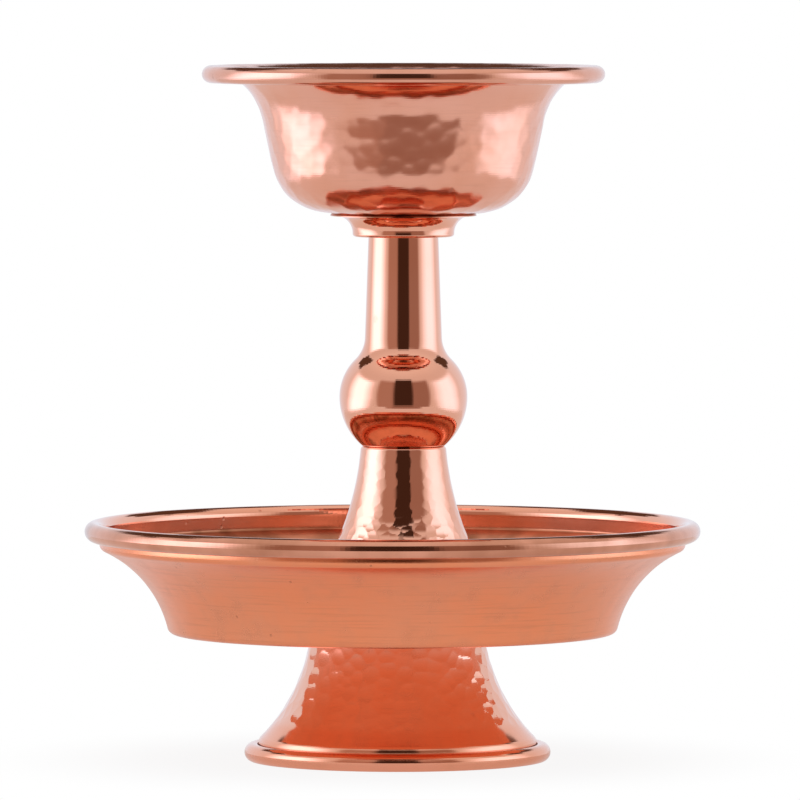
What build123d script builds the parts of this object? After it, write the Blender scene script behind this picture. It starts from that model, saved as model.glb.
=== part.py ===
"""Libation set in sheet copper: a stemmed goblet that stands loose in a footed dish.

Millimetres, Z up. The origin is on the table under the middle of the dish.
Every sheet piece is a section of constant thickness, swept about its own upright axis.
"""
import os
from dataclasses import dataclass
from math import acos, asin, atan2, cos, degrees, radians, sin, sqrt, tan

from build123d import *

# Foot of the dish
FOOT_HEIGHT = 28.0            # table to the underside of the dish
FOOT_RIM_DIAMETER = 67.5
FOOT_NECK_DIAMETER = 38.6     # where it meets the dish
FOOT_FLANGE_BORE = 27.0       # hole in the flange that is brazed to the dish
FOOT_LEAN = 8.0               # degrees from upright at the neck
FOOT_CORNER = 1.2
FOOT_SHEET = 0.9
FOOT_WIRE = 2.0               # diameter of the wire in the rolled edge
FOOT_SHOULDER = 0.9           # inside radius where the flare turns into the band
FOOT_BAND = 0.15              # upright band between the shoulder and the bead
FOOT_OFFSET = 1.1             # the foot is brazed on a little off the axis of the dish

# Dish
DISH_DEPTH = 24.6             # underside to the crest of the rim
DISH_RIM_DIAMETER = 135.7
DISH_FLOOR_DIAMETER = 96.1    # flat part of the floor
DISH_LEAN = 14.0
DISH_CORNER = 1.6
DISH_SHEET = 0.9
DISH_WIRE = 2.2
DISH_SHOULDER = 0.6
DISH_BAND = 0.7

# Trumpet base of the goblet
GOBLET_OFFSET = 2.4           # where the goblet stands in the dish, off its axis
BASE_HEIGHT = 40.5            # dish floor to the seam under the knop
BASE_RIM_DIAMETER = 53.0
BASE_NECK_DIAMETER = 18.9
BASE_LEAN = 5.0
BASE_CORNER = 0.95
BASE_SHEET = 0.8
BASE_WIRE = 1.8
BASE_SHOULDER = 1.0
BASE_BAND = 0.35
SPIGOT_LENGTH = 4.0           # part of the base that enters the knop

# Stem with its knop
STEM_LENGTH = 46.0            # seam under the knop to the underside of the collar
STEM_TOP_DIAMETER = 15.4
STEM_WAIST_DIAMETER = 16.95   # just above the knop
STEM_WAIST_DROP = 22.2        # from the top of the stem
STEM_SHEET = 0.9
KNOP_DIAMETER = 28.2
KNOP_RISE = 10.7              # seam to the widest level of the knop
KNOP_UPPER_ROUND = 11.6
KNOP_LOWER_ROUND = 14.1

# Collar under the cup
COLLAR_DIAMETER = 22.4
COLLAR_CORNER = 0.7
COLLAR_WALL = 0.1             # upright part, between the corner and the fillet
COLLAR_FILLET = 3.8
COLLAR_BRIM = 1.1             # flat part of the flange
COLLAR_SHEET = 0.6

# Cup
CUP_DEPTH = 32.45             # underside to the crest of the rim
CUP_RIM_DIAMETER = 88.7
CUP_SEAT_DIAMETER = 29.6      # flat under the bowl
CUP_BELLY_ROUND = 20.0        # shallow round from the seat outwards
CUP_BELLY_SLOPE = 15.0        # degrees from level where the belly turns up
CUP_CORNER = 12.0
CUP_LEAN = 12.2
CUP_WALL = 11.1               # straight part of the wall
CUP_SHEET = 0.8
CUP_WIRE = 2.0
CUP_LIP_WRAP = 285.0          # how far the lip is rolled about its wire, in degrees

# Edges that the set stands on
BEAD_FLAT = 0.25              # what is lapped off under a bead to make it stand

# Tie through the goblet
STUD_DIAMETER = 5.0
STUD_TAIL = 3.0               # what stands out under the nut
STUD_HEAD_DIAMETER = 15.0
STUD_HEAD_HEIGHT = 1.6
BUSH_HEIGHT = 6.0
PLATE_DROP = 12.4             # seam under the knop to the top of the check plate
PLATE_HEIGHT = 2.0
WASHER_DIAMETER = 10.0
WASHER_HEIGHT = 1.0
NUT_ACROSS_FLATS = 8.0
NUT_HEIGHT = 4.0
NUT_CHAMFER = 0.6

# Clearances
WIRE_FIT = 0.1                # wire to the inside of its roll
ROLL_GAP = 0.3                # raw edge of a roll to the band behind it
SPIGOT_FIT = 0.05             # also the corner under the spigot, so that the knop sits down
BUSH_FIT = 0.03
PLATE_FIT = 0.04
BORE_FIT = 0.1                # stud to the holes it passes through
NUT_FIT = 0.03

# Levels that follow from the stack
DISH_FLOOR_LEVEL = FOOT_HEIGHT + DISH_SHEET
SEAM_LEVEL = DISH_FLOOR_LEVEL + BASE_HEIGHT
COLLAR_LEVEL = SEAM_LEVEL + STEM_LENGTH
COLLAR_HEIGHT = COLLAR_CORNER + COLLAR_WALL + COLLAR_FILLET + COLLAR_SHEET
CUP_LEVEL = COLLAR_LEVEL + COLLAR_HEIGHT
PLATE_LEVEL = SEAM_LEVEL - PLATE_DROP - PLATE_HEIGHT
WASHER_LEVEL = PLATE_LEVEL - WASHER_HEIGHT
NUT_LEVEL = WASHER_LEVEL - NUT_HEIGHT
STUD_LEVEL = NUT_LEVEL - STUD_TAIL

STEM_LEAN = degrees(atan2((STEM_WAIST_DIAMETER - STEM_TOP_DIAMETER) / 2, STEM_WAIST_DROP))
STUD_BORE = STUD_DIAMETER / 2 + BORE_FIT
TOUCHING = 1e-6


@dataclass
class Bend:
    """Round stretch of a sheet's outer face, between two bearings about its centre."""

    centre: Vector
    radius: float
    start: float
    stop: float
    hollow: bool = False      # True where the centre lies on the outer side of the sheet

    def reach(self, depth):
        """Radius of the line that runs at a depth into the sheet."""
        return self.radius + depth if self.hollow else self.radius - depth

    def end(self):
        """Point of the outer face where the bend stops."""
        return self.centre + bearing(self.stop) * self.radius


def bearing(angle):
    """Unit vector at an angle in degrees, from outward towards the rim."""
    return Vector(cos(radians(angle)), sin(radians(angle)))


def face_line(start, bends, depth, tail):
    """Edges of the line at a depth into the sheet: straight runs between the bends, then a tail."""
    edges = []
    here = start
    for bend in bends:
        arc = CenterArc(bend.centre, bend.reach(depth), bend.start, bend.stop - bend.start)
        if (arc @ 0 - here).length > TOUCHING:
            edges.append(Line(here, arc @ 0))
        edges.append(arc)
        here = arc @ 1
    if tail.length > TOUCHING:
        edges.append(Line(here, here + tail))
    return edges


def sheet_section(start, into, bends, sheet, tail=Vector(0, 0)):
    """Section of a sheet. Its outer face starts at a point, where `into` points through the sheet."""
    inner_start = start + into * sheet
    outer = face_line(start, bends, 0, tail)
    inner = face_line(inner_start, bends, sheet, tail)
    raw_edge = Line(outer[-1] @ 1, inner[-1] @ 1)
    first_edge = Line(start, inner_start)
    return make_face([*outer, raw_edge, *inner, first_edge])


def spun(section):
    """Section swept about the upright axis."""
    return revolve(Plane.XZ * section, Axis.Z)


def spun_over(section):
    """The same for a piece that is made rim up and used rim down."""
    return spun(mirror(section, about=Plane.XZ))


def corner(floor_radius, radius, lean):
    """Bend from a flat floor into a wall that leans outwards."""
    return Bend(Vector(floor_radius, radius), radius, -90, -lean)


def flare(start, lean, round_centre, round_radius):
    """Hollow bend that leaves a leaning wall and runs smoothly onto a round.

    The radius is positive for a round on the inner side of the sheet and negative for a roll
    on its outer side.
    """
    across = bearing(-lean)
    back = start - round_centre
    radius = (back.dot(back) - round_radius**2) / (2 * (round_radius - back.dot(across)))
    centre = start + across * radius
    towards = round_centre - centre
    return Bend(centre, radius, 180 - lean, degrees(atan2(towards.Y, towards.X)), hollow=True)


def wire_centre(rim_diameter, rim_height, sheet, wire):
    """Centre of the wire that a sheet is rolled over, in the section."""
    bead = wire / 2 + WIRE_FIT + sheet
    return Vector(rim_diameter / 2 - bead, rim_height - bead)


def wired_edge(start, lean, rim_diameter, rim_height, sheet, wire, shoulder, band):
    """Bends of a wall that flares, turns up over a shoulder into a band and rolls out over a wire."""
    centre = wire_centre(rim_diameter, rim_height, sheet, wire)
    roll = wire / 2 + WIRE_FIT
    turn_round = shoulder + sheet
    turn_centre = centre - Vector(roll + turn_round, roll + sheet + band)
    wall = flare(start, lean, turn_centre, turn_round)
    turn = Bend(turn_centre, turn_round, wall.stop - 180, 0)
    raw_edge = -degrees(acos((ROLL_GAP - roll) / (roll + sheet)))
    return [wall, turn, Bend(centre, roll, 180, raw_edge, hollow=True)]


def wire_ring(centre, wire):
    """Ring of round wire, placed by its centre in the section."""
    return Pos(0, 0, centre.Y) * Torus(centre.X, wire / 2)


def drilled_disc(low_radius, high_radius, height, bore):
    """Disc with a straight or tapered edge and a hole, standing on level 0."""
    low = Vector(low_radius, 0)
    high = Vector(high_radius, height)
    edge = Polyline(Vector(bore, 0), low, high, Vector(bore, height), close=True)
    return spun(make_face(edge))


def cut_level(piece, level, keep):
    """Piece cut square at a level."""
    return split(piece, bisect_by=Plane.XY.offset(level), keep=keep)


def dish_shell():
    """Spun dish: flat floor, flared wall, band and rolled rim."""
    turn = corner(DISH_FLOOR_DIAMETER / 2, DISH_CORNER, DISH_LEAN)
    edge = (DISH_RIM_DIAMETER, DISH_DEPTH, DISH_SHEET, DISH_WIRE, DISH_SHOULDER, DISH_BAND)
    rim = wired_edge(turn.end(), DISH_LEAN, *edge)
    section = sheet_section(Vector(0, 0), Vector(0, 1), [turn, *rim], DISH_SHEET)
    return Pos(0, 0, FOOT_HEIGHT) * spun(section)


def dish_rim_wire():
    """Wire in the rim of the dish."""
    centre = wire_centre(DISH_RIM_DIAMETER, DISH_DEPTH, DISH_SHEET, DISH_WIRE)
    return Pos(0, 0, FOOT_HEIGHT) * wire_ring(centre, DISH_WIRE)


def foot_shell():
    """Flared foot: flange under the dish, hollow flare, band and a rolled edge lapped flat below."""
    turn = corner(FOOT_NECK_DIAMETER / 2 - FOOT_CORNER, FOOT_CORNER, FOOT_LEAN)
    height = FOOT_HEIGHT + BEAD_FLAT
    edge = (FOOT_RIM_DIAMETER, height, FOOT_SHEET, FOOT_WIRE, FOOT_SHOULDER, FOOT_BAND)
    rim = wired_edge(turn.end(), FOOT_LEAN, *edge)
    section = sheet_section(Vector(FOOT_FLANGE_BORE / 2, 0), Vector(0, 1), [turn, *rim], FOOT_SHEET)
    shell = Pos(FOOT_OFFSET, 0, FOOT_HEIGHT) * spun_over(section)
    return cut_level(shell, 0, Keep.TOP)


def foot_rim_wire():
    """Wire in the lower edge of the foot."""
    centre = wire_centre(FOOT_RIM_DIAMETER, FOOT_HEIGHT + BEAD_FLAT, FOOT_SHEET, FOOT_WIRE)
    return Pos(FOOT_OFFSET, 0, FOOT_HEIGHT) * wire_ring(Vector(centre.X, -centre.Y), FOOT_WIRE)


def base_turn():
    """Bend at the top of the goblet's base, from the seat of the knop into the flare."""
    return corner(BASE_NECK_DIAMETER / 2 - BASE_CORNER, BASE_CORNER, BASE_LEAN)


def base_edge():
    """Bends of the goblet's base, from the flare to the rolled lower edge."""
    height = BASE_HEIGHT + BEAD_FLAT
    edge = (BASE_RIM_DIAMETER, height, BASE_SHEET, BASE_WIRE, BASE_SHOULDER, BASE_BAND)
    return wired_edge(base_turn().end(), BASE_LEAN, *edge)


def goblet_base():
    """Trumpet base: spigot, seat for the knop, hollow flare, band and a rolled edge lapped flat."""
    knop_centre = KNOP_DIAMETER / 2 - KNOP_LOWER_ROUND
    opening = knop_centre + sqrt((KNOP_LOWER_ROUND - STEM_SHEET) ** 2 - KNOP_RISE**2)
    spigot_radius = opening - SPIGOT_FIT
    seat = Bend(Vector(opening, -SPIGOT_FIT), SPIGOT_FIT, 180, 90, hollow=True)
    top = Vector(spigot_radius, -SPIGOT_LENGTH)
    section = sheet_section(top, Vector(-1, 0), [seat, base_turn(), *base_edge()], BASE_SHEET)
    shell = Pos(0, 0, SEAM_LEVEL) * spun_over(section)
    return cut_level(shell, DISH_FLOOR_LEVEL, Keep.TOP)


def goblet_base_wire():
    """Wire in the lower edge of the goblet's base."""
    centre = wire_centre(BASE_RIM_DIAMETER, BASE_HEIGHT + BEAD_FLAT, BASE_SHEET, BASE_WIRE)
    return Pos(0, 0, SEAM_LEVEL) * wire_ring(Vector(centre.X, -centre.Y), BASE_WIRE)


def stem_tube():
    """Tapered tube and knop in one spinning, both ends cut square."""
    spare = STEM_SHEET
    knop_drop = STEM_LENGTH - KNOP_RISE
    along = bearing(90 - STEM_LEAN)
    waist = Vector(STEM_WAIST_DIAMETER / 2, STEM_WAIST_DROP)
    top = waist - along * (STEM_WAIST_DROP / along.Y + spare)
    upper_centre = Vector(KNOP_DIAMETER / 2 - KNOP_UPPER_ROUND, knop_drop)
    lower_centre = Vector(KNOP_DIAMETER / 2 - KNOP_LOWER_ROUND, knop_drop)
    neck = flare(waist, STEM_LEAN, upper_centre, KNOP_UPPER_ROUND)
    upper = Bend(upper_centre, KNOP_UPPER_ROUND, neck.stop - 180, 0)
    past_seam = degrees(asin((KNOP_RISE + spare) / KNOP_LOWER_ROUND))
    lower = Bend(lower_centre, KNOP_LOWER_ROUND, 0, past_seam)
    section = sheet_section(top, bearing(180 - STEM_LEAN), [neck, upper, lower], STEM_SHEET)
    tube = Pos(0, 0, COLLAR_LEVEL) * spun_over(section)
    tube = cut_level(tube, COLLAR_LEVEL, Keep.BOTTOM)
    return cut_level(tube, SEAM_LEVEL, Keep.TOP)


def stem_bush():
    """Tapered bush that centres the stud in the top of the stem."""
    wall = STEM_SHEET / cos(radians(STEM_LEAN)) + BUSH_FIT
    high_radius = STEM_TOP_DIAMETER / 2 - wall
    low_radius = high_radius + BUSH_HEIGHT * tan(radians(STEM_LEAN))
    bush = drilled_disc(low_radius, high_radius, BUSH_HEIGHT, STUD_BORE)
    return Pos(0, 0, COLLAR_LEVEL - BUSH_HEIGHT) * bush


def cup_collar():
    """Spun collar: drilled bottom, upright wall and a hollow fillet out to a thin flange."""
    wall_radius = COLLAR_DIAMETER / 2
    turn = corner(wall_radius - COLLAR_CORNER, COLLAR_CORNER, 0)
    fillet_centre = Vector(wall_radius + COLLAR_FILLET, COLLAR_CORNER + COLLAR_WALL)
    fillet = Bend(fillet_centre, COLLAR_FILLET, 180, 90, hollow=True)
    brim = Vector(COLLAR_BRIM, 0)
    section = sheet_section(Vector(STUD_BORE, 0), Vector(0, 1), [turn, fillet], COLLAR_SHEET, brim)
    return Pos(0, 0, COLLAR_LEVEL) * spun(section)


def cup_shell():
    """Raised bowl: flat seat, shallow belly, rounded corner, leaning wall and a lip rolled over a wire."""
    belly_centre = Vector(CUP_SEAT_DIAMETER / 2, CUP_BELLY_ROUND)
    belly = Bend(belly_centre, CUP_BELLY_ROUND, -90, CUP_BELLY_SLOPE - 90)
    corner_centre = belly_centre + bearing(belly.stop) * (CUP_BELLY_ROUND - CUP_CORNER)
    turn = Bend(corner_centre, CUP_CORNER, belly.stop, -CUP_LEAN)
    wall_top = turn.end() + bearing(90 - CUP_LEAN) * CUP_WALL
    roll_centre = wire_centre(CUP_RIM_DIAMETER, CUP_DEPTH, CUP_SHEET, CUP_WIRE)
    roll = CUP_WIRE / 2 + WIRE_FIT
    lip = flare(wall_top, CUP_LEAN, roll_centre, -roll)
    bead = Bend(roll_centre, roll, lip.stop, lip.stop - CUP_LIP_WRAP, hollow=True)
    section = sheet_section(Vector(0, 0), Vector(0, 1), [belly, turn, lip, bead], CUP_SHEET)
    return Pos(0, 0, CUP_LEVEL) * spun(section)


def cup_rim_wire():
    """Wire in the lip of the cup."""
    centre = wire_centre(CUP_RIM_DIAMETER, CUP_DEPTH, CUP_SHEET, CUP_WIRE)
    return Pos(0, 0, CUP_LEVEL) * wire_ring(centre, CUP_WIRE)


def cup_stud():
    """Stud under the cup: a flat head that is brazed to the bowl, and the rod down to the nut."""
    grounded = (Align.CENTER, Align.CENTER, Align.MIN)
    head = Cylinder(STUD_HEAD_DIAMETER / 2, STUD_HEAD_HEIGHT, align=grounded)
    rod = Cylinder(STUD_DIAMETER / 2, CUP_LEVEL - STUD_LEVEL, align=grounded)
    return Pos(0, 0, CUP_LEVEL - STUD_HEAD_HEIGHT) * head + Pos(0, 0, STUD_LEVEL) * rod


def check_plate():
    """Disc that wedges in the trumpet base, its edge tapered to the wall there."""
    wall = base_edge()[0]
    outside = wall.reach(BASE_SHEET + PLATE_FIT)
    drops = (PLATE_DROP + PLATE_HEIGHT, PLATE_DROP)
    low, high = (wall.centre.X - sqrt(outside**2 - (drop - wall.centre.Y) ** 2) for drop in drops)
    return Pos(0, 0, PLATE_LEVEL) * drilled_disc(low, high, PLATE_HEIGHT, STUD_BORE)


def stud_washer():
    """Plain washer under the check plate."""
    rim = WASHER_DIAMETER / 2
    return Pos(0, 0, WASHER_LEVEL) * drilled_disc(rim, rim, WASHER_HEIGHT, STUD_BORE)


def stud_nut():
    """Hexagon nut with its corners chamfered."""
    blank = extrude(RegularPolygon(NUT_ACROSS_FLATS / 2, 6, major_radius=False), NUT_HEIGHT)
    corner_radius = NUT_ACROSS_FLATS / 2 / cos(radians(30))
    barrel = Pos(0, 0, NUT_HEIGHT / 2) * Cylinder(corner_radius, NUT_HEIGHT)
    barrel = chamfer(barrel.edges().filter_by(GeomType.CIRCLE), NUT_CHAMFER)
    hole = Pos(0, 0, NUT_HEIGHT / 2) * Cylinder(STUD_DIAMETER / 2 + NUT_FIT, NUT_HEIGHT)
    return Pos(0, 0, NUT_LEVEL) * (blank & barrel) - Pos(0, 0, NUT_LEVEL) * hole


DISH_PIECES = [dish_shell, dish_rim_wire, foot_shell, foot_rim_wire]
GOBLET_PIECES = [
    cup_shell,
    cup_rim_wire,
    cup_collar,
    cup_stud,
    stem_tube,
    stem_bush,
    goblet_base,
    goblet_base_wire,
    check_plate,
    stud_washer,
    stud_nut,
]

os.makedirs("parts", exist_ok=True)
for make in DISH_PIECES:
    export_step(make(), f"parts/{make.__name__}.step")
for make in GOBLET_PIECES:
    export_step(Pos(GOBLET_OFFSET, 0, 0) * make(), f"parts/{make.__name__}.step")
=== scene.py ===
from collections import namedtuple
from math import acos, asin, atan2, ceil, cos, degrees, hypot, radians, sin, sqrt

import bpy
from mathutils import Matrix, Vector

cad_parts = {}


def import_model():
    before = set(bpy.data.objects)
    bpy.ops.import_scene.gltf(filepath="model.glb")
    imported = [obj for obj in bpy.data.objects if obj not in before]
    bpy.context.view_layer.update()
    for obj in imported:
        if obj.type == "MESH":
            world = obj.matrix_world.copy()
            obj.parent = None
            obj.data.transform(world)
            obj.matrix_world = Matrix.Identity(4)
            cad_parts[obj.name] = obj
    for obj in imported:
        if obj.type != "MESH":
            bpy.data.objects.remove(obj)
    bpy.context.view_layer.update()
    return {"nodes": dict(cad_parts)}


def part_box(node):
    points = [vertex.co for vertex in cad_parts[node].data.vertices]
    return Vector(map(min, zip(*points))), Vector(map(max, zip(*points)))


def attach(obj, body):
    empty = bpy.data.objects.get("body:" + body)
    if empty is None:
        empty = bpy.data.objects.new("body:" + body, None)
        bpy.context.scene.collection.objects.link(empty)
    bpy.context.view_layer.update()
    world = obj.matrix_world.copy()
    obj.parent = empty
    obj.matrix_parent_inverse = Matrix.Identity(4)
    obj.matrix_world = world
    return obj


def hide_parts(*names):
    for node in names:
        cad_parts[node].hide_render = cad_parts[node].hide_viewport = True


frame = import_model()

MM = 0.001


class Value:
    """A node's output that can be used in sums: each operator adds a Math node."""

    def __init__(self, graph, socket):
        self.graph = graph
        self.socket = socket

    def other(self, name):
        """Another output of the same node."""
        return Value(self.graph, self.socket.node.outputs[name])

    def calc(self, operation, *terms):
        return self.graph.node("ShaderNodeMath", {"operation": operation}, dict(enumerate(terms)))

    def __add__(self, term):
        return self.calc("ADD", self, term)

    def __sub__(self, term):
        return self.calc("SUBTRACT", self, term)

    def __rsub__(self, term):
        return self.calc("SUBTRACT", term, self)

    def __mul__(self, term):
        return self.calc("MULTIPLY", self, term)

    def __truediv__(self, term):
        return self.calc("DIVIDE", self, term)

    def __rtruediv__(self, term):
        return self.calc("DIVIDE", term, self)

    def __neg__(self):
        return self.calc("MULTIPLY", self, -1.0)

    __radd__ = __add__
    __rmul__ = __mul__


class Graph:
    """A node tree that is built by one method."""

    def __init__(self, tree):
        self.tree = tree
        tree.nodes.clear()

    def node(self, kind, settings=None, sockets=None, out=0):
        """Add a node: its settings first, then the values or links of its sockets."""
        made = self.tree.nodes.new(kind)
        for name, setting in (settings or {}).items():
            setattr(made, name, setting)
        for name, given in (sockets or {}).items():
            if isinstance(given, Value):
                self.tree.links.new(given.socket, made.inputs[name])
            else:
                made.inputs[name].default_value = given
        return Value(self, made.outputs[out]) if made.outputs else None

    def step(self, value, low, high):
        """Smooth step from 0 at one value to 1 at another."""
        span = {"Value": value, "From Min": low, "From Max": high}
        return self.node("ShaderNodeMapRange", {"interpolation_type": "SMOOTHSTEP"}, span)

    def blend(self, colour, over, share):
        """One colour laid over another."""
        return self.node("ShaderNodeMix", {"data_type": "RGBA"}, {0: share, 6: colour, 7: over}, 2)

    def noise(self, vector, scale, detail=2.0):
        return self.node("ShaderNodeTexNoise", {}, {"Vector": vector, "Scale": scale, "Detail": detail})


# Sections of the sheet pieces, in millimetres out from the axis and along it, with angles in degrees.

Bend = namedtuple("Bend", "centre radius start stop hollow", defaults=[False])
Rim = namedtuple("Rim", "centre bead")
Station = namedtuple("Station", "out along inside")
# The tarnished-brown share also carries painted shade at the collar seam and painted dark reflection inside
# the dish.
Skin = namedtuple("Skin", "hammer satin tarnish", defaults=[0.0, 0.0, 0.0])

ROLL_GAP = 0.3
TOUCHING = 1e-6
TURN_STEP = 10
BELOW_ALL = -1.0


def levels(node):
    """Lowest and highest level of a node in the frame."""
    low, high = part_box(node)
    return low.z / MM, high.z / MM


def rim_of(shell, wire, level):
    """Where the wire of a rolled edge runs in the section, and the bead's radius, from the frame."""
    low, high = (corner_point / MM for corner_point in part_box(wire))
    thick = high.z - low.z
    ring = (high.x - low.x - thick) / 2
    shell_low, shell_high = (corner_point / MM for corner_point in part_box(shell))
    bead = (shell_high.x - shell_low.x) / 2 - ring
    return Rim(Vector((ring, abs((low.z + high.z) / 2 - level))), bead)


def bearing(angle):
    return Vector((cos(radians(angle)), sin(radians(angle))))


def bend_end(bend):
    return bend.centre + bearing(bend.stop) * bend.radius


def corner(floor_radius, radius, lean):
    """Bend from a flat floor into a wall that leans outwards."""
    return Bend(Vector((floor_radius, radius)), radius, -90, -lean)


def flare(start, lean, round_centre, round_radius):
    """Hollow bend from a leaning wall onto a round, or onto a roll where the radius is negative."""
    across = bearing(-lean)
    back = start - round_centre
    radius = (back.dot(back) - round_radius**2) / (2 * (round_radius - back.dot(across)))
    centre = start + across * radius
    towards = round_centre - centre
    return Bend(centre, radius, 180 - lean, degrees(atan2(towards.y, towards.x)), True)


def wired_edge(start, lean, rim, sheet, shoulder, band):
    """Flare, shoulder, band and the roll over a wire. The shoulder is given by its inside radius."""
    roll = rim.bead - sheet
    turn_round = shoulder + sheet
    turn_centre = rim.centre - Vector((roll + turn_round, rim.bead + band))
    wall = flare(start, lean, turn_centre, turn_round)
    turn = Bend(turn_centre, turn_round, wall.stop - 180, 0)
    raw_edge = -degrees(acos((ROLL_GAP - roll) / rim.bead))
    return [wall, turn, Bend(rim.centre, roll, 180, raw_edge, True)]


def face_line(start, bends, depth, floor_pitch, pitch):
    """Points along the line that runs at a depth into a sheet."""
    points = [start]
    for bend in bends:
        radius = bend.radius + depth if bend.hollow else bend.radius - depth
        here = points[-1]
        there = bend.centre + bearing(bend.start) * radius
        run = (there - here).length
        if run > TOUCHING:
            steps = ceil(run / (floor_pitch if len(points) == 1 else pitch))
            points += [here.lerp(there, step / steps) for step in range(1, steps + 1)]
        swing = bend.stop - bend.start
        steps = ceil(max(abs(swing) / TURN_STEP, abs(radians(swing)) * radius / pitch))
        turns = [bend.start + swing * step / steps for step in range(1, steps + 1)]
        points += [bend.centre + bearing(turn) * radius for turn in turns]
    return points


def closed_section(outer, inner, ring):
    """Stations from the outer face round the raw edge and back along the inner face."""
    stations = [Station(point.x, point.y, 0) for point in outer]
    stations += [Station(point.x, point.y, 1) for point in reversed(inner)]
    return stations + stations[:1] if ring else stations


def section_object(name, stations, level, rim_up, finish, lowest=BELOW_ALL):
    """Row of points that the lathe tree spins, with what each point of the sheet is like.

    `finish` gives the skin at a station: its shares of hammering, satin and tarnished brown, which on the
    collar seam and inside the dish is also painted shade and painted dark reflection.
    """
    rows = stations if rim_up else stations[::-1]
    mesh = bpy.data.meshes.new(name)
    heights = [level + row.along if rim_up else level - row.along for row in rows]
    mesh.from_pydata([(row.out * MM, 0, max(z, lowest) * MM) for row, z in zip(rows, heights)], [], [])
    run = 0.0
    runs = [run]
    for here, there in zip(rows, rows[1:]):
        run += hypot(there.out - here.out, there.along - here.along)
        runs.append(run)
    skins = [finish(row) for row in rows]
    layers = {
        "inside": [float(row.inside) for row in rows],
        "hammer": [skin.hammer for skin in skins],
        "satin": [skin.satin for skin in skins],
        "tarnish": [skin.tarnish for skin in skins],
        "run": runs,
    }
    for layer, values in layers.items():
        mesh.attributes.new(layer, "FLOAT", "POINT").data.foreach_set("value", values)
    section = bpy.data.objects.new(name, mesh)
    bpy.context.scene.collection.objects.link(section)
    return section


# The lathe: spins a section and planishes it.

LATHE_INPUTS = {
    "Section": "NodeSocketObject",
    "Axis X": "NodeSocketFloat",
    "Around": "NodeSocketInt",
    "Mark Spacing": "NodeSocketFloat",
    "Hammer Crown": "NodeSocketFloat",
    "Softening": "NodeSocketInt",
    "Wave Length": "NodeSocketFloat",
    "Wave Height": "NodeSocketFloat",
    "Seed": "NodeSocketInt",
    "Finish": "NodeSocketMaterial",
}

# Lengths here are in metres, the sharp edge is in degrees and the blows are shares of the full mark.
WELD = 1e-6
LEAST_HAMMERED = 0.01
BLOWS_TRIED = 3.0
LIGHTEST_BLOW = 0.3
BLOW_SPREAD = 1.4
SHARP_EDGE = 24


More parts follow.
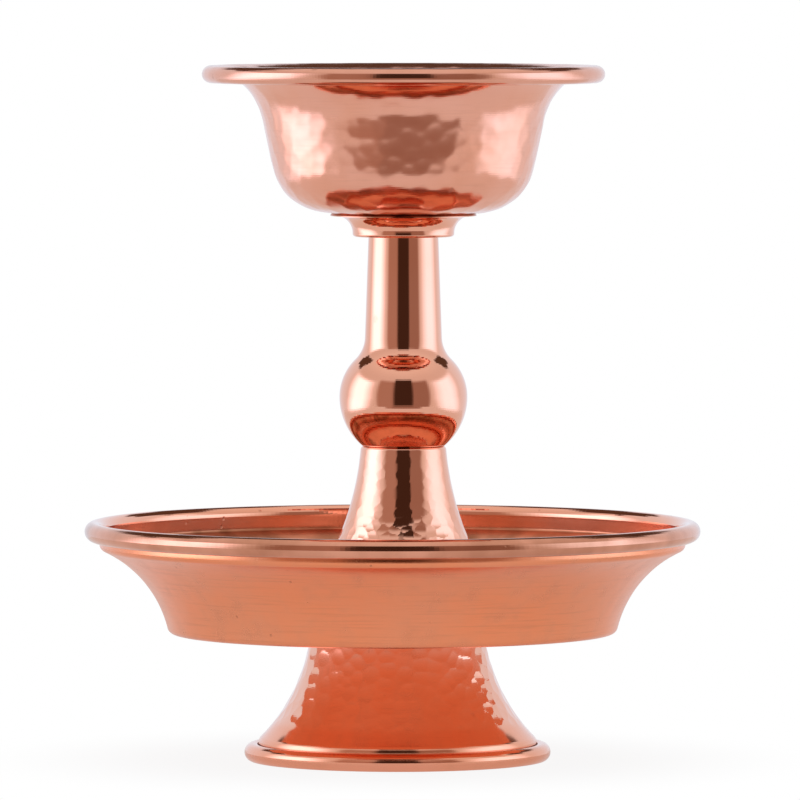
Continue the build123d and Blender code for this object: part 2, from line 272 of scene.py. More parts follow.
def lathe_tree():
    """Geometry nodes that spin a section, press the hammer's crown into it, buff that and let it wave."""
    tree = bpy.data.node_groups.new("spun and hammered sheet", "GeometryNodeTree")
    for name, kind in LATHE_INPUTS.items():
        tree.interface.new_socket(name, in_out="INPUT", socket_type=kind)
    tree.interface.new_socket("Geometry", in_out="OUTPUT", socket_type="NodeSocketGeometry")
    graph = Graph(tree)
    given = graph.node("NodeGroupInput")
    asked = {name: given.other(name) for name in LATHE_INPUTS}

    section = graph.node("GeometryNodeObjectInfo", {}, {"Object": asked["Section"]}, "Geometry")
    rows = graph.node("GeometryNodeAttributeDomainSize", {"component": "MESH"}, {0: section})
    size = {"Vertices X": asked["Around"] + 1, "Vertices Y": rows}
    sheet = graph.node("GeometryNodeMeshGrid", {}, size)
    index = graph.node("GeometryNodeInputIndex")
    column = index.calc("FLOOR", index / rows)
    row = index - column * rows

    point = graph.node("GeometryNodeInputPosition")
    read = {"Geometry": section, "Value": point, "Index": row}
    station = graph.node("GeometryNodeSampleIndex", {"data_type": "FLOAT_VECTOR"}, read)
    out = graph.node("ShaderNodeSeparateXYZ", {}, {0: station})
    turn = column * radians(360) / asked["Around"]
    spun = {
        "X": asked["Axis X"] + out * turn.calc("COSINE", turn),
        "Y": out * turn.calc("SINE", turn),
        "Z": out.other("Z"),
    }
    layers = {}
    for layer in ("inside", "hammer", "satin", "tarnish", "run"):
        stored = graph.node("GeometryNodeInputNamedAttribute", {"data_type": "FLOAT"}, {"Name": layer})
        read = {"Geometry": section, "Value": stored, "Index": row}
        value = graph.node("GeometryNodeSampleIndex", {"data_type": "FLOAT"}, read)
        keep = {"Geometry": sheet, "Name": layer, "Value": value}
        sheet = graph.node("GeometryNodeStoreNamedAttribute", {"data_type": "FLOAT", "domain": "POINT"}, keep)
        layers[layer] = stored
    place = graph.node("ShaderNodeCombineXYZ", {}, spun)
    sheet = graph.node("GeometryNodeSetPosition", {}, {"Geometry": sheet, "Position": place})
    sheet = graph.node("GeometryNodeMergeByDistance", {}, {"Geometry": sheet, "Distance": WELD})

    spacing = asked["Mark Spacing"]
    strike = {
        "Mesh": sheet,
        "Distance Min": spacing,
        "Density Max": BLOWS_TRIED / (spacing * spacing),
        "Density Factor": layers["hammer"].calc("GREATER_THAN", layers["hammer"], LEAST_HAMMERED),
        "Seed": asked["Seed"],
    }
    blows = graph.node("GeometryNodeDistributePointsOnFaces", {"distribute_method": "POISSON"}, strike)
    nearest = {"Geometry": blows, "Group ID": layers["inside"], "Sample Group ID": layers["inside"]}
    reach = graph.node("GeometryNodeProximity", {"target_element": "POINTS"}, nearest, "Distance")
    reach = reach.calc("MINIMUM", reach, spacing)
    middle = spacing * 0.5
    swell = graph.noise(point, 1 / asked["Wave Length"], 1.0)
    weight = layers["hammer"] * (LIGHTEST_BLOW + swell * BLOW_SPREAD)
    dent = (reach * reach - middle * middle) / (asked["Hammer Crown"] * 2) * weight
    buffed = {"Value": dent, "Iterations": asked["Softening"]}
    dent = graph.node("GeometryNodeBlurAttribute", {"data_type": "FLOAT"}, buffed)
    rise = dent + (swell - 0.5) * asked["Wave Height"]
    normal = graph.node("GeometryNodeInputNormal")
    press = graph.node("ShaderNodeVectorMath", {"operation": "SCALE"}, {0: normal, "Scale": rise})
    sheet = graph.node("GeometryNodeSetPosition", {}, {"Geometry": sheet, "Offset": press})

    angle = graph.node("GeometryNodeInputMeshEdgeAngle")
    soft = {"Geometry": sheet, "Shade Smooth": angle.calc("LESS_THAN", angle, radians(SHARP_EDGE))}
    sheet = graph.node("GeometryNodeSetShadeSmooth", {"domain": "EDGE"}, soft)
    sheet = graph.node("GeometryNodeRealizeInstances", {}, {"Geometry": sheet})
    sheet = graph.node("GeometryNodeSetMaterial", {}, {"Geometry": sheet, "Material": asked["Finish"]})
    graph.node("NodeGroupOutput", {}, {"Geometry": sheet})
    return tree


LATHE = lathe_tree()


def spin(name, node, body, slot, section, **sizes):
    """Spin a section into the sheet piece that stands for a node."""
    piece = bpy.data.objects.new(name, bpy.data.meshes.new(name))
    bpy.context.scene.collection.objects.link(piece)
    lathe = piece.modifiers.new("lathe", "NODES")
    lathe.node_group = LATHE
    low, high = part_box(node)
    sizes.update(section=section, axis_x=(low.x + high.x) / 2)
    for item in LATHE.interface.items_tree:
        if item.in_out == "INPUT":
            lathe[item.identifier] = sizes[item.name.lower().replace(" ", "_")]
    seen = bpy.context.evaluated_depsgraph_get()
    made = piece.evaluated_get(seen)
    mesh = bpy.data.meshes.new_from_object(made, preserve_all_data_layers=True, depsgraph=seen)
    piece.modifiers.remove(lathe)
    piece.data = mesh
    mesh.name = name
    bpy.data.objects.remove(section)
    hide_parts(node)
    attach(piece, body)


# Finishes

BRIGHT_COPPER = (0.93, 0.465, 0.33, 1)
DEEP_COPPER = (0.86, 0.35, 0.20, 1)
# Brown of tarnished copper; the same brown also paints shade on the collar seam and dark reflections inside
# the dish.
TARNISH_AND_SHADE = (0.28, 0.095, 0.04, 1)
PIT = (0.42, 0.16, 0.09, 1)

Wear = namedtuple("Wear", "polish satin_polish ring_depth nick_depth nick_scale")

# Scales of the noises, per metre, and of the lathe's rings, along the section and around.
CLOUD_SCALE = 42.0
SMEAR_SCALE = 190.0
GRAIN_SCALE = 900.0
NICK_BEND_SCALE = 1500.0
RINGS_ALONG = 2.2
RINGS_AROUND = 3.0

# Levels of a noise between which something sets in, and the share that it then has.
CLOUD_ONSET, CLOUD_SHARE = (0.35, 0.75), 0.45
SMEAR_ONSET, SMEAR_SHARE = (0.35, 0.7), 0.2
RING_STAIN_ONSET, RING_STAIN = (0.5, 0.75), 0.16
SMEAR_STAIN_ONSET, SMEAR_STAIN = (0.5, 0.8), 0.12
CLOUD_TARNISH_ONSET, CLOUD_TARNISH = (0.4, 0.6), 0.45
SMEAR_TARNISH_ONSET, SMEAR_TARNISH = (0.3, 0.7), 0.3
LEAST_TARNISH = 0.3
NICK_EDGE, NICK_BEND = (0.03, 0.12), 0.1
NICK_CHOICE, NICK_SHARE, SATIN_NICK_SHARE = (0.55, 0.75), 0.3, 0.3
GRAIN_DEPTH = 0.003

# What each adds to the roughness.
TARNISH_DULLS = 0.12
CLOUD_DULLS = 0.04
GRAIN_DULLS = 0.04
SMEAR_DULLS = 0.12
NICK_DULLS = 0.12


def sheet_copper(name, bright, dull, wear):
    """Copper sheet: polished where it was buffed, duller where it was left satin, browner where tarnished and
    where shade and dark reflections are painted on.

    It has rings from the lathe and the buff, small nicks, and clouds where its colour deepens.
    Depths are in millimetres.
    """
    material = bpy.data.materials.new(name)
    material.use_nodes = True
    graph = Graph(material.node_tree)
    place = graph.node("ShaderNodeTexCoord", out="Object")
    run = graph.node("ShaderNodeAttribute", {"attribute_name": "run"}, out="Fac")
    satin = graph.node("ShaderNodeAttribute", {"attribute_name": "satin"}, out="Fac")
    tarnish = graph.node("ShaderNodeAttribute", {"attribute_name": "tarnish"}, out="Fac")
    flat = graph.node("ShaderNodeVectorMath", {"operation": "MULTIPLY"}, {0: place, 1: (1, 1, 0)})
    facing = graph.node("ShaderNodeVectorMath", {"operation": "NORMALIZE"}, {0: flat})
    side = graph.node("ShaderNodeSeparateXYZ", {}, {0: facing})
    lathe_space = {"X": run * RINGS_ALONG, "Y": side * RINGS_AROUND, "Z": side.other("Y") * RINGS_AROUND}
    rings = graph.noise(graph.node("ShaderNodeCombineXYZ", {}, lathe_space), 1.0, 3.0)
    cloud = graph.noise(place, CLOUD_SCALE, 3.0)
    smear = graph.noise(place, SMEAR_SCALE, 4.0)
    grain = graph.noise(place, GRAIN_SCALE, 3.0)
    nick = graph.node("ShaderNodeTexVoronoi", {}, {"Vector": place, "Scale": wear.nick_scale})
    bent = graph.noise(place, NICK_BEND_SCALE, 1.0)
    some = graph.node("ShaderNodeSeparateColor", {}, {0: nick.other("Color")})
    nicked = 1 - graph.step(nick + (bent - 0.5) * NICK_BEND, *NICK_EDGE)
    nicked = nicked * graph.step(some, *NICK_CHOICE)

    age = graph.step(cloud, *CLOUD_ONSET) * CLOUD_SHARE
    age = age + graph.step(smear, *SMEAR_ONSET) * satin * SMEAR_SHARE
    colour = graph.blend(bright, dull, satin)
    colour = graph.blend(colour, DEEP_COPPER, age)
    stain = graph.step(rings, *RING_STAIN_ONSET) * RING_STAIN
    stain = stain + graph.step(smear, *SMEAR_STAIN_ONSET) * SMEAR_STAIN
    colour = graph.blend(colour, PIT, stain * satin)
    patchy = LEAST_TARNISH + graph.step(cloud, *CLOUD_TARNISH_ONSET) * CLOUD_TARNISH
    patchy = patchy + graph.step(smear, *SMEAR_TARNISH_ONSET) * SMEAR_TARNISH
    # Tarnished brown, which where the sections ask for it is also painted shade and painted dark reflection.
    colour = graph.blend(colour, TARNISH_AND_SHADE, tarnish * patchy)
    colour = graph.blend(colour, PIT, nicked * (NICK_SHARE + satin * SATIN_NICK_SHARE))
    gloss = wear.polish + satin * (wear.satin_polish - wear.polish) + tarnish * TARNISH_DULLS
    gloss = gloss + (cloud - 0.5) * CLOUD_DULLS + (grain - 0.5) * GRAIN_DULLS
    gloss = gloss + (smear - 0.5) * satin * SMEAR_DULLS + nicked * NICK_DULLS
    height = (rings - 0.5) * wear.ring_depth - nicked * wear.nick_depth
    height = height + (grain - 0.5) * satin * GRAIN_DEPTH
    relief = graph.node("ShaderNodeBump", {}, {"Strength": 1.0, "Distance": MM, "Height": height})
    skin = {"Base Color": colour, "Metallic": 1.0, "Roughness": gloss, "Normal": relief}
    metal = graph.node("ShaderNodeBsdfPrincipled", {}, skin)
    graph.node("ShaderNodeOutputMaterial", {}, {"Surface": metal})
    return material


METAL_CLOUD_SCALE = 120.0
METAL_CLOUD_ONSET = 0.3, 0.75
METAL_CLOUD_DULLS = 0.1
LINE_DULLS = 0.12
LINE_DEPTH = 0.006


def plain_metal(name, bright, deep, polish, line_scale, line_stretch):
    """Drawn or turned metal with fine lines."""
    material = bpy.data.materials.new(name)
    material.use_nodes = True
    graph = Graph(material.node_tree)
    place = graph.node("ShaderNodeTexCoord", out="Object")
    drawn = graph.node("ShaderNodeVectorMath", {"operation": "MULTIPLY"}, {0: place, 1: line_stretch})
    lines = graph.noise(drawn, line_scale, 3.0)
    cloud = graph.noise(place, METAL_CLOUD_SCALE, 3.0)
    colour = graph.blend(bright, deep, graph.step(cloud, *METAL_CLOUD_ONSET))
    gloss = polish + (lines - 0.5) * LINE_DULLS + (cloud - 0.5) * METAL_CLOUD_DULLS
    relief = graph.node("ShaderNodeBump", {}, {"Strength": 1.0, "Distance": MM, "Height": lines * LINE_DEPTH})
    skin = {"Base Color": colour, "Metallic": 1.0, "Roughness": gloss, "Normal": relief}
    metal = graph.node("ShaderNodeBsdfPrincipled", {}, skin)
    graph.node("ShaderNodeOutputMaterial", {}, {"Surface": metal})
    return material


CUP_COPPER = (0.91, 0.445, 0.325, 1)
RIM_COPPER = (0.92, 0.42, 0.28, 1)
ORANGE_COPPER = (0.96, 0.31, 0.145, 1)

HAMMERED = Wear(0.06, 0.2, 0.0006, 0.02, 150.0)
PLANISHED = Wear(0.10, 0.2, 0.0006, 0.015, 130.0)
SATIN = Wear(0.07, 0.25, 0.0025, 0.02, 240.0)
MIRROR = Wear(0.05, 0.2, 0.0004, 0.01, 90.0)
WIRE = (0.82, 0.42, 0.28, 1), (0.62, 0.27, 0.16, 1)
BRASS = (0.80, 0.62, 0.30, 1), (0.60, 0.43, 0.18, 1)

hammered_copper = sheet_copper("hammered copper", BRIGHT_COPPER, ORANGE_COPPER, HAMMERED)
cup_copper = sheet_copper("planished cup copper", CUP_COPPER, CUP_COPPER, PLANISHED)
satin_copper = sheet_copper("satin dish copper", RIM_COPPER, ORANGE_COPPER, SATIN)
polished_copper = sheet_copper("mirror copper", BRIGHT_COPPER, DEEP_COPPER, MIRROR)
wire_copper = plain_metal("drawn copper wire", *WIRE, polish=0.25, line_scale=600.0, line_stretch=(1, 1, 4))
tie_brass = plain_metal("turned brass", *BRASS, polish=0.28, line_scale=700.0, line_stretch=(0.3, 0.3, 6))


# Pieces of the dish

def soft_step(value, low, high):
    """Smooth step in Python, for the shares along a section."""
    share = min(max((value - low) / (high - low), 0.0), 1.0)
    return share * share * (3 - 2 * share)


DISH_LEVEL = levels("dish_shell")[0]
DISH_SHEET = 0.9
DISH_FLOOR = 48.05
DISH_CORNER = 1.6
DISH_LEAN = 14
DISH_SHOULDER = 0.6
DISH_BAND = 0.7
DISH_CREVICE = 20.3

# Pitch of the rows on the first straight stretch and on the rest of a face, here and in each piece below.
DISH_OUTER_PITCH = 2.5, 0.44
DISH_INNER_PITCH = 1.1, 0.7

# Stretches in which the skin of the dish changes, and its shares.
CREVICE_FADE_INSIDE = 0.8
CREVICE_FADE_OUTSIDE = 0.3
BEAD_FADE = 1.0
LIP_FADE = 0.4
DISH_UPPER_WALL = 52, 56
DISH_FLOOR_EDGE = 44, 48
DISH_WALL_FOOT = 48, 51
DISH_WALL_HAMMER = 0.3
DISH_FLOOR_HAMMER = 0.8
DISH_INSIDE_SATIN = 0.6
# Shares of brown inside the dish, on the wall, its upper part, the band and the bead: partly tarnished metal,
# partly painted dark reflection.
DISH_WALL_TARNISH_AND_SHADE = 0.2
DISH_UPPER_TARNISH_AND_SHADE = 0.8
DISH_BAND_TARNISH_AND_SHADE = 0.3
DISH_BEAD_TARNISH_AND_SHADE = 0.5


def dish():
    """Dish: satin outside, bright on the rolled rim, with a hammered floor, and inside a band that is
    tarnished and darkened with painted dark reflection.
    """
    turn = corner(DISH_FLOOR, DISH_CORNER, DISH_LEAN)
    rim = rim_of("dish_shell", "dish_rim_wire", DISH_LEVEL)
    bends = [turn, *wired_edge(bend_end(turn), DISH_LEAN, rim, DISH_SHEET, DISH_SHOULDER, DISH_BAND)]
    outer = face_line(Vector((0, 0)), bends, 0, *DISH_OUTER_PITCH)
    inner = face_line(Vector((0, DISH_SHEET)), bends, DISH_SHEET, *DISH_INNER_PITCH)
    stations = closed_section(outer, inner, False)

    def finish(at):
        if at.inside:
            wall = 1 - soft_step(at.along, DISH_CREVICE - CREVICE_FADE_INSIDE, DISH_CREVICE)
            bead = soft_step(at.out, rim.centre.x, rim.centre.x + BEAD_FADE)
            upper = soft_step(at.out, *DISH_UPPER_WALL) * (1 - bead)
            floor = 1 - soft_step(at.out, *DISH_FLOOR_EDGE)
            lip = soft_step(at.along, rim.centre.y - LIP_FADE, rim.centre.y + LIP_FADE)
            band = (1 - wall - lip) * (1 - bead)
            # Brown on the bead, the wall and most of all its upper part, and the band: partly tarnished
            # metal, partly painted dark reflection.
            tarnish = DISH_BEAD_TARNISH_AND_SHADE * bead + wall * (DISH_WALL_TARNISH_AND_SHADE + DISH_UPPER_TARNISH_AND_SHADE * upper)
            tarnish += DISH_BAND_TARNISH_AND_SHADE * band
            return Skin(DISH_FLOOR_HAMMER * floor, DISH_INSIDE_SATIN * (wall + band), tarnish)
        wall = 1 - soft_step(at.along, DISH_CREVICE, DISH_CREVICE + CREVICE_FADE_OUTSIDE)
        return Skin(DISH_WALL_HAMMER * wall * soft_step(at.out, *DISH_WALL_FOOT), wall)

    section = section_object("dish section", stations, DISH_LEVEL, True, finish)
    spin(
        "dish_sheet", "dish_shell", "dish", "satin_copper", section,
        around=380, mark_spacing=3.2 * MM, hammer_crown=50 * MM, softening=3,
        wave_length=9 * MM, wave_height=0.02 * MM, seed=3, finish=satin_copper,
    )


TABLE_LEVEL = 0.0

FOOT_SHEET = 0.9
FOOT_BORE = 13.5
FOOT_NECK = 19.3
FOOT_CORNER = 1.2
FOOT_LEAN = 8
FOOT_SHOULDER = 0.9
FOOT_BAND = 0.15
FOOT_OUTER_PITCH = 1.0, 0.3
FOOT_INNER_PITCH = 1.0, 0.6
FOOT_NECK_FADE = 0.5, 4.0
FOOT_EDGE_FADE = 26.5, 28.0
FOOT_EDGE_SATIN = 0.4
INSIDE_TARNISH = 0.3


def foot():
    """Foot of the dish: hammered flare, smooth shoulder, band and bead, lapped flat below."""
    turn = corner(FOOT_NECK - FOOT_CORNER, FOOT_CORNER, FOOT_LEAN)
    rim = rim_of("foot_shell", "foot_rim_wire", DISH_LEVEL)
    bends = [turn, *wired_edge(bend_end(turn), FOOT_LEAN, rim, FOOT_SHEET, FOOT_SHOULDER, FOOT_BAND)]
    outer = face_line(Vector((FOOT_BORE, 0)), bends, 0, *FOOT_OUTER_PITCH)
    inner = face_line(Vector((FOOT_BORE, FOOT_SHEET)), bends, FOOT_SHEET, *FOOT_INNER_PITCH)
    stations = closed_section(outer, inner, True)

    def finish(at):
        edge = soft_step(at.out, *FOOT_EDGE_FADE)
        hammer = soft_step(at.along, *FOOT_NECK_FADE) * (1 - edge)
        return Skin(hammer, FOOT_EDGE_SATIN * edge, INSIDE_TARNISH * (1 - edge) * at.inside)

    section = section_object("foot section", stations, DISH_LEVEL, False, finish, TABLE_LEVEL)
    spin(
        "foot_sheet", "foot_shell", "dish", "hammered_copper", section,
        around=380, mark_spacing=2.0 * MM, hammer_crown=19 * MM, softening=0,
        wave_length=7 * MM, wave_height=0.02 * MM, seed=5, finish=hammered_copper,
    )


# Pieces of the goblet

FLOOR_LEVEL = levels("goblet_base")[0]
SEAM_LEVEL, COLLAR_LEVEL = levels("stem_tube")
CUP_LEVEL = levels("cup_shell")[0]

STEM_SHEET = 0.9
STEM_TOP = 7.7
STEM_WAIST = 8.475
STEM_WAIST_DROP = 22.2
STEM_PITCH = 0.4
KNOP = 14.1
KNOP_RISE = 10.7
KNOP_UPPER_ROUND = 11.6

BASE_SHEET = 0.8
BASE_NECK = 9.45
BASE_CORNER = 0.95
BASE_LEAN = 5
BASE_SHOULDER = 1.0
BASE_BAND = 0.35
SPIGOT_LENGTH = 4.0
SPIGOT_FIT = 0.05
BASE_OUTER_PITCH = 1.0, 0.28
BASE_INNER_PITCH = 1.0, 1.2
BASE_NECK_FADE = 0.8, 2.5
BASE_FLARE_FADE = 8, 28
BASE_EDGE_FADE = 20.5, 22.0
NECK_HAMMER = 0.22
FLARE_HAMMER = 0.78


def base():
    """Trumpet base: nearly smooth at the neck, more and more hammered towards the flare."""
    opening = sqrt((KNOP - STEM_SHEET) ** 2 - KNOP_RISE**2)
    seat = Bend(Vector((opening, -SPIGOT_FIT)), SPIGOT_FIT, 180, 90, True)
    turn = corner(BASE_NECK - BASE_CORNER, BASE_CORNER, BASE_LEAN)
    rim = rim_of("goblet_base", "goblet_base_wire", SEAM_LEVEL)
    edge = wired_edge(bend_end(turn), BASE_LEAN, rim, BASE_SHEET, BASE_SHOULDER, BASE_BAND)
    bends = [seat, turn, *edge]
    spigot = Vector((opening - SPIGOT_FIT, -SPIGOT_LENGTH))
    outer = face_line(spigot, bends, 0, *BASE_OUTER_PITCH)
    inner = face_line(spigot - Vector((BASE_SHEET, 0)), bends, BASE_SHEET, *BASE_INNER_PITCH)
    stations = closed_section(outer, inner, True)

    def finish(at):
        down = NECK_HAMMER + FLARE_HAMMER * soft_step(at.along, *BASE_FLARE_FADE)
        hammer = soft_step(at.along, *BASE_NECK_FADE) * down * (1 - soft_step(at.out, *BASE_EDGE_FADE))
        return Skin(hammer, tarnish=INSIDE_TARNISH * at.inside)

    section = section_object("base section", stations, SEAM_LEVEL, False, finish, FLOOR_LEVEL)
    spin(
        "base_sheet", "goblet_base", "goblet", "hammered_copper", section,
        around=330, mark_spacing=1.35 * MM, hammer_crown=9 * MM, softening=0,
        wave_length=4 * MM, wave_height=0.03 * MM, seed=7, finish=hammered_copper,
    )


def stem():
    """Stem and knop, spun in one and cut square at both ends."""
    length = COLLAR_LEVEL - SEAM_LEVEL
    lean = degrees(atan2(STEM_WAIST - STEM_TOP, STEM_WAIST_DROP))
    upper_centre = Vector((KNOP - KNOP_UPPER_ROUND, length - KNOP_RISE))
    neck = flare(Vector((STEM_WAIST, STEM_WAIST_DROP)), lean, upper_centre, KNOP_UPPER_ROUND)
    upper = Bend(upper_centre, KNOP_UPPER_ROUND, neck.stop - 180, 0)
    lines = []
    for depth in (0, STEM_SHEET):
        top = Vector((STEM_TOP - depth / cos(radians(lean)), 0))
        seam = degrees(asin(KNOP_RISE / (KNOP - depth)))
        lower = Bend(Vector((0, length - KNOP_RISE)), KNOP, 0, seam)
        lines.append(face_line(top, [neck, upper, lower], depth, STEM_PITCH, STEM_PITCH + depth))
    stations = closed_section(*lines, True)

    def finish(at):
        return Skin(tarnish=INSIDE_TARNISH * at.inside)

    section = section_object("stem section", stations, COLLAR_LEVEL, False, finish)
    spin(
        "stem_sheet", "stem_tube", "goblet", "polished_copper", section,
        around=240, mark_spacing=3 * MM, hammer_crown=50 * MM, softening=0,
        wave_length=6 * MM, wave_height=0.012 * MM, seed=11, finish=polished_copper,
    )


COLLAR = 11.2
COLLAR_CORNER = 0.7
COLLAR_WALL = 0.1
COLLAR_FILLET = 3.8
COLLAR_BRIM = 1.1
COLLAR_SHEET = 0.6
COLLAR_BEVEL = 0.4
COLLAR_SEAM = 4.7
COLLAR_BORE = 2.6
COLLAR_PITCH = 1.5, 0.25


def collar():
    """Collar between the stem and the cup: its thin flange is bevelled, and painted shade darkens the seam
    under the cup.
    """
    turn = corner(COLLAR - COLLAR_CORNER, COLLAR_CORNER, 0)
    fillet_centre = Vector((COLLAR + COLLAR_FILLET, COLLAR_CORNER + COLLAR_WALL))
    fillet = Bend(fillet_centre, COLLAR_FILLET, 180, 90, True)
    outer, inner = (
        face_line(Vector((COLLAR_BORE, depth)), [turn, fillet], depth, *COLLAR_PITCH)
        for depth in (0, COLLAR_SHEET)
    )
    outer.append(outer[-1] + Vector((COLLAR_BRIM, 0)))
    outer.append(outer[-1] + Vector((0, COLLAR_SHEET - COLLAR_BEVEL)))
    inner.append(inner[-1] + Vector((COLLAR_BRIM - COLLAR_BEVEL, 0)))
    stations = closed_section(outer, inner, True)

    def finish(at):
        # Above the seam level the brim gets the full brown: painted shade of the crevice under the cup.
        return Skin(tarnish=1.0 if at.along > COLLAR_SEAM else INSIDE_TARNISH * at.inside)

    section = section_object("collar section", stations, COLLAR_LEVEL, True, finish)
    spin(
        "collar_sheet", "cup_collar", "goblet", "polished_copper", section,
        around=260, mark_spacing=3 * MM, hammer_crown=50 * MM, softening=0,
        wave_length=6 * MM, wave_height=0.012 * MM, seed=13, finish=polished_copper,
    )


CUP_SHEET = 0.8
CUP_SEAT = 14.8
CUP_BELLY_ROUND = 20.0
CUP_BELLY_SLOPE = 15
CUP_CORNER = 12.0
CUP_LEAN = 12.2
CUP_WALL = 11.1
CUP_LIP_WRAP = 285
CUP_OUTER_PITCH = 1.5, 0.44
CUP_INNER_PITCH = 1.1, 0.75
CUP_LIP_FADE = 39.5, 41.0
CUP_WALL_FADE = 24, 28
CUP_SEAT_FADE = 13, 17
CUP_WALL_SATIN = 0.6
CUP_INSIDE_SATIN = 0.2
CUP_INSIDE_TARNISH = 0.15


def cup():
    """Cup: planished all over, with a smooth lip that is rolled over its wire."""
    belly_centre = Vector((CUP_SEAT, CUP_BELLY_ROUND))
    belly = Bend(belly_centre, CUP_BELLY_ROUND, -90, CUP_BELLY_SLOPE - 90)
    corner_centre = belly_centre + bearing(belly.stop) * (CUP_BELLY_ROUND - CUP_CORNER)
    turn = Bend(corner_centre, CUP_CORNER, belly.stop, -CUP_LEAN)
    wall_top = bend_end(turn) + bearing(90 - CUP_LEAN) * CUP_WALL
    rim = rim_of("cup_shell", "cup_rim_wire", CUP_LEVEL)
    roll = rim.bead - CUP_SHEET
    lip = flare(wall_top, CUP_LEAN, rim.centre, -roll)
    bends = [belly, turn, lip, Bend(rim.centre, roll, lip.stop, lip.stop - CUP_LIP_WRAP, True)]
    outer = face_line(Vector((0, 0)), bends, 0, *CUP_OUTER_PITCH)
    inner = face_line(Vector((0, CUP_SHEET)), bends, CUP_SHEET, *CUP_INNER_PITCH)
    stations = closed_section(outer, inner, False)

    def finish(at):
        if at.inside:
            return Skin(1 - soft_step(at.out, *CUP_LIP_FADE), CUP_INSIDE_SATIN, CUP_INSIDE_TARNISH)
        wall = 1 - soft_step(at.along, *CUP_WALL_FADE)
        return Skin(wall * soft_step(at.out, *CUP_SEAT_FADE), CUP_WALL_SATIN * wall)

    section = section_object("cup section", stations, CUP_LEVEL, True, finish)
    spin(
        "cup_sheet", "cup_shell", "goblet", "hammered_copper", section,
        around=380, mark_spacing=2.4 * MM, hammer_crown=28 * MM, softening=2,
        wave_length=6 * MM, wave_height=0.10 * MM, seed=17, finish=cup_copper,
    )


dish()
foot()
base()
stem()
collar()
cup()

for wire in ("cup_rim_wire", "goblet_base_wire", "dish_rim_wire", "foot_rim_wire"):
    frame["nodes"][wire].material_slots[0].material = wire_copper
for part in ("cup_stud", "stem_bush", "check_plate", "stud_washer", "stud_nut"):
    frame["nodes"][part].material_slots[0].material = tie_brass


# Stage

WHITE = (1, 1, 1, 1)
TENT_WALL = (0.76, 0.75, 0.75, 1)
TENT_BACK = (0.84, 0.93, 1.04, 1)
TENT_TOP = (0.86, 0.86, 0.86, 1)
LEFT_LAMP = (2.3, 2.4, 3.0, 1)
RIGHT_LAMP = (1.4, 1.75, 2.2, 1)
LAMP_HALO = (1.05, 1.15, 1.3, 1)
LEFT_ROOM = (0.44, 0.31, 0.26, 1)
RIGHT_ROOM = (0.34, 0.23, 0.19, 1)
DARK_ROOM = (0.055, 0.03, 0.02, 1)
TENT_GAP = (0.10, 0.06, 0.04, 1)

# Where each begins and ends, in degrees to the side of the camera or above the horizon.
RIGHT_HALF = -24, -18
BACK_SIDE = 112, 132
TOP_RISE = 40, 62
HALO_NEAR, HALO_BACK, HALO_RISE = (50, 68), (108, 128), (-44, -34, 28, 36)
LAMP_NEAR, LAMP_BACK, LAMP_RISE = (56, 82), (94, 122), (-38, -6, 26, 33)
NEAR_SLANT = 0.5
BACK_SLANT = 0.7
GAP_SIDE, GAP_BOTTOM, GAP_TOP = (120, 124), (44, 46), (48, 52)
GAP_LEVEL_SIDE = 80
GAP_SLOPE = 0.25
RUFFLE_SCALE = 9.0
RUFFLE = 14
RUFFLE_RISE = 0.4
ROOM_SIDE, ROOM_RISE = (45, 54), (-62, -56, 33, 40)
DARK_SIDE, DARK_RISE = (15, 20), (-16, -11, 38, 44)


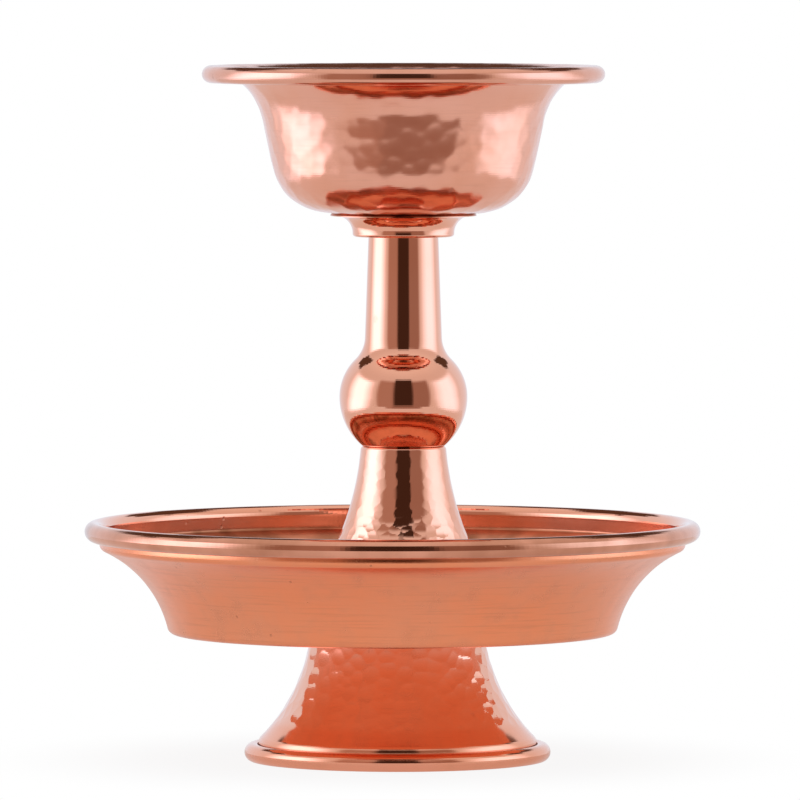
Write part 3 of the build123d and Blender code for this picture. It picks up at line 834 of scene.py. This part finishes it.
def light_tent():
    """White tent with a lamp behind each side wall, a gap under its top and the darker room in front."""
    world = bpy.data.worlds.new("light tent")
    world.use_nodes = True
    bpy.context.scene.world = world
    graph = Graph(world.node_tree)
    look = graph.node("ShaderNodeTexCoord", out="Generated")
    x = graph.node("ShaderNodeSeparateXYZ", {}, {0: look})
    z = x.other("Z")
    swing = x.calc("ARCTAN2", x, -x.other("Y")) * degrees(1)
    rise = z.calc("ARCSINE", z) * degrees(1)
    aside = swing.calc("ABSOLUTE", swing)
    right = graph.step(swing, *RIGHT_HALF)
    ruffle = (graph.noise(look, RUFFLE_SCALE, 4.0) - 0.5) * RUFFLE

    def before(value, closes, closed_by):
        return 1 - graph.step(value, closes, closed_by)

    def window(value, opens, open_by, closes, closed_by):
        return graph.step(value, opens, open_by) * before(value, closes, closed_by)

    tent = graph.blend(TENT_WALL, TENT_BACK, graph.step(aside, *BACK_SIDE))
    tent = graph.blend(tent, TENT_TOP, graph.step(rise, *TOP_RISE))
    sunk = rise.calc("MAXIMUM", -rise, 0.0)
    near = aside - sunk * NEAR_SLANT
    back = aside - sunk * BACK_SLANT
    halo = graph.step(near, *HALO_NEAR) * before(back, *HALO_BACK) * window(rise, *HALO_RISE)
    tent = graph.blend(tent, LAMP_HALO, halo)
    lamp = graph.blend(LEFT_LAMP, RIGHT_LAMP, right)
    core = graph.step(near, *LAMP_NEAR) * before(back, *LAMP_BACK) * window(rise, *LAMP_RISE)
    tent = graph.blend(tent, lamp, core)
    above = rise + ruffle * RUFFLE_RISE + (aside - GAP_LEVEL_SIDE) * GAP_SLOPE
    gap = graph.step(aside + ruffle, *GAP_SIDE) * graph.step(above, *GAP_BOTTOM) * before(rise, *GAP_TOP)
    tent = graph.blend(tent, TENT_GAP, gap)
    room = graph.blend(LEFT_ROOM, RIGHT_ROOM, right)
    tent = graph.blend(tent, room, before(aside, *ROOM_SIDE) * window(rise, *ROOM_RISE))
    tent = graph.blend(tent, DARK_ROOM, before(aside, *DARK_SIDE) * window(rise, *DARK_RISE))

    lit = graph.node("ShaderNodeBackground", {}, {"Color": tent})
    white = graph.node("ShaderNodeBackground", {}, {"Color": WHITE})
    seen = graph.node("ShaderNodeLightPath", out="Is Camera Ray")
    both = graph.node("ShaderNodeMixShader", {}, {0: seen, 1: lit, 2: white})
    graph.node("ShaderNodeOutputWorld", {}, {"Surface": both})


# The floor and the camera are in metres, the lens and its sensor in millimetres.
FLOOR_SIDE = 0.33
FLOOR_FADE = 0.22
FLOOR_FRONT = -0.235
FLOOR_NEAR = 0.04
FLOOR_FAR = 0.10
FLOOR_SHIM = -0.00003
CLOTH = (0.72, 0.71, 0.70, 1), (0.76, 0.75, 0.74, 1)
WEAVE_SCALE = 700.0
NEAR_VEIL = 0.9
FAR_VEIL = 0.1
MIRRORED_VEIL = 0.5


def pale_floor():
    """Pale floor of the tent, which ends at the opening in front and thins out towards the lamps.

    Past the set's shadow it is white.
    """
    mesh = bpy.data.meshes.new("floor")
    left, right, front, back = -FLOOR_SIDE, FLOOR_SIDE, FLOOR_FRONT, FLOOR_SIDE
    corners = [(left, front), (right, front), (right, back), (left, back)]
    mesh.from_pydata([(*corner_place, FLOOR_SHIM) for corner_place in corners], [], [(0, 1, 2, 3)])
    floor = bpy.data.objects.new("floor", mesh)
    bpy.context.scene.collection.objects.link(floor)
    material = bpy.data.materials.new("pale floor")
    material.use_nodes = True
    graph = Graph(material.node_tree)
    place = graph.node("ShaderNodeTexCoord", out="Object")
    far = graph.node("ShaderNodeVectorMath", {"operation": "LENGTH"}, {0: place}, "Value")
    pale = graph.blend(*CLOTH, graph.noise(place, WEAVE_SCALE))
    cloth = graph.node("ShaderNodeBsdfDiffuse", {}, {"Color": pale})
    white = graph.node("ShaderNodeEmission", {}, {"Color": WHITE})
    seen = graph.node("ShaderNodeLightPath", out="Is Camera Ray")
    mirrored = seen.other("Is Glossy Ray")
    veil = seen * (NEAR_VEIL + graph.step(far, FLOOR_NEAR, FLOOR_FAR) * FAR_VEIL) + mirrored * MIRRORED_VEIL
    both = graph.node("ShaderNodeMixShader", {}, {0: veil, 1: cloth, 2: white})
    across = graph.node("ShaderNodeSeparateXYZ", {}, {0: place})
    thin = graph.step(across.calc("ABSOLUTE", across), FLOOR_FADE, FLOOR_SIDE)
    clear = graph.node("ShaderNodeBsdfTransparent")
    both = graph.node("ShaderNodeMixShader", {}, {0: thin, 1: both, 2: clear})
    graph.node("ShaderNodeOutputMaterial", {}, {"Surface": both})
    mesh.materials.append(material)


LENS = 450
SENSOR = 36
CAMERA_STAND = 0.00165, -2.2, 0.1837
CAMERA_TARGET = 0.00165, 0, 0.0794


def camera():
    """Camera at the photograph's place: far off and a little above the set."""
    view = bpy.data.cameras.new("camera")
    view.lens = LENS
    view.sensor_width = SENSOR
    stand = bpy.data.objects.new("camera", view)
    stand.location = CAMERA_STAND
    aim = Vector(CAMERA_TARGET) - stand.location
    stand.rotation_euler = aim.to_track_quat("-Z", "Y").to_euler()
    bpy.context.scene.collection.objects.link(stand)
    bpy.context.scene.camera = stand


light_tent()
pale_floor()
camera()
bpy.context.scene.view_settings.view_transform = "Standard"
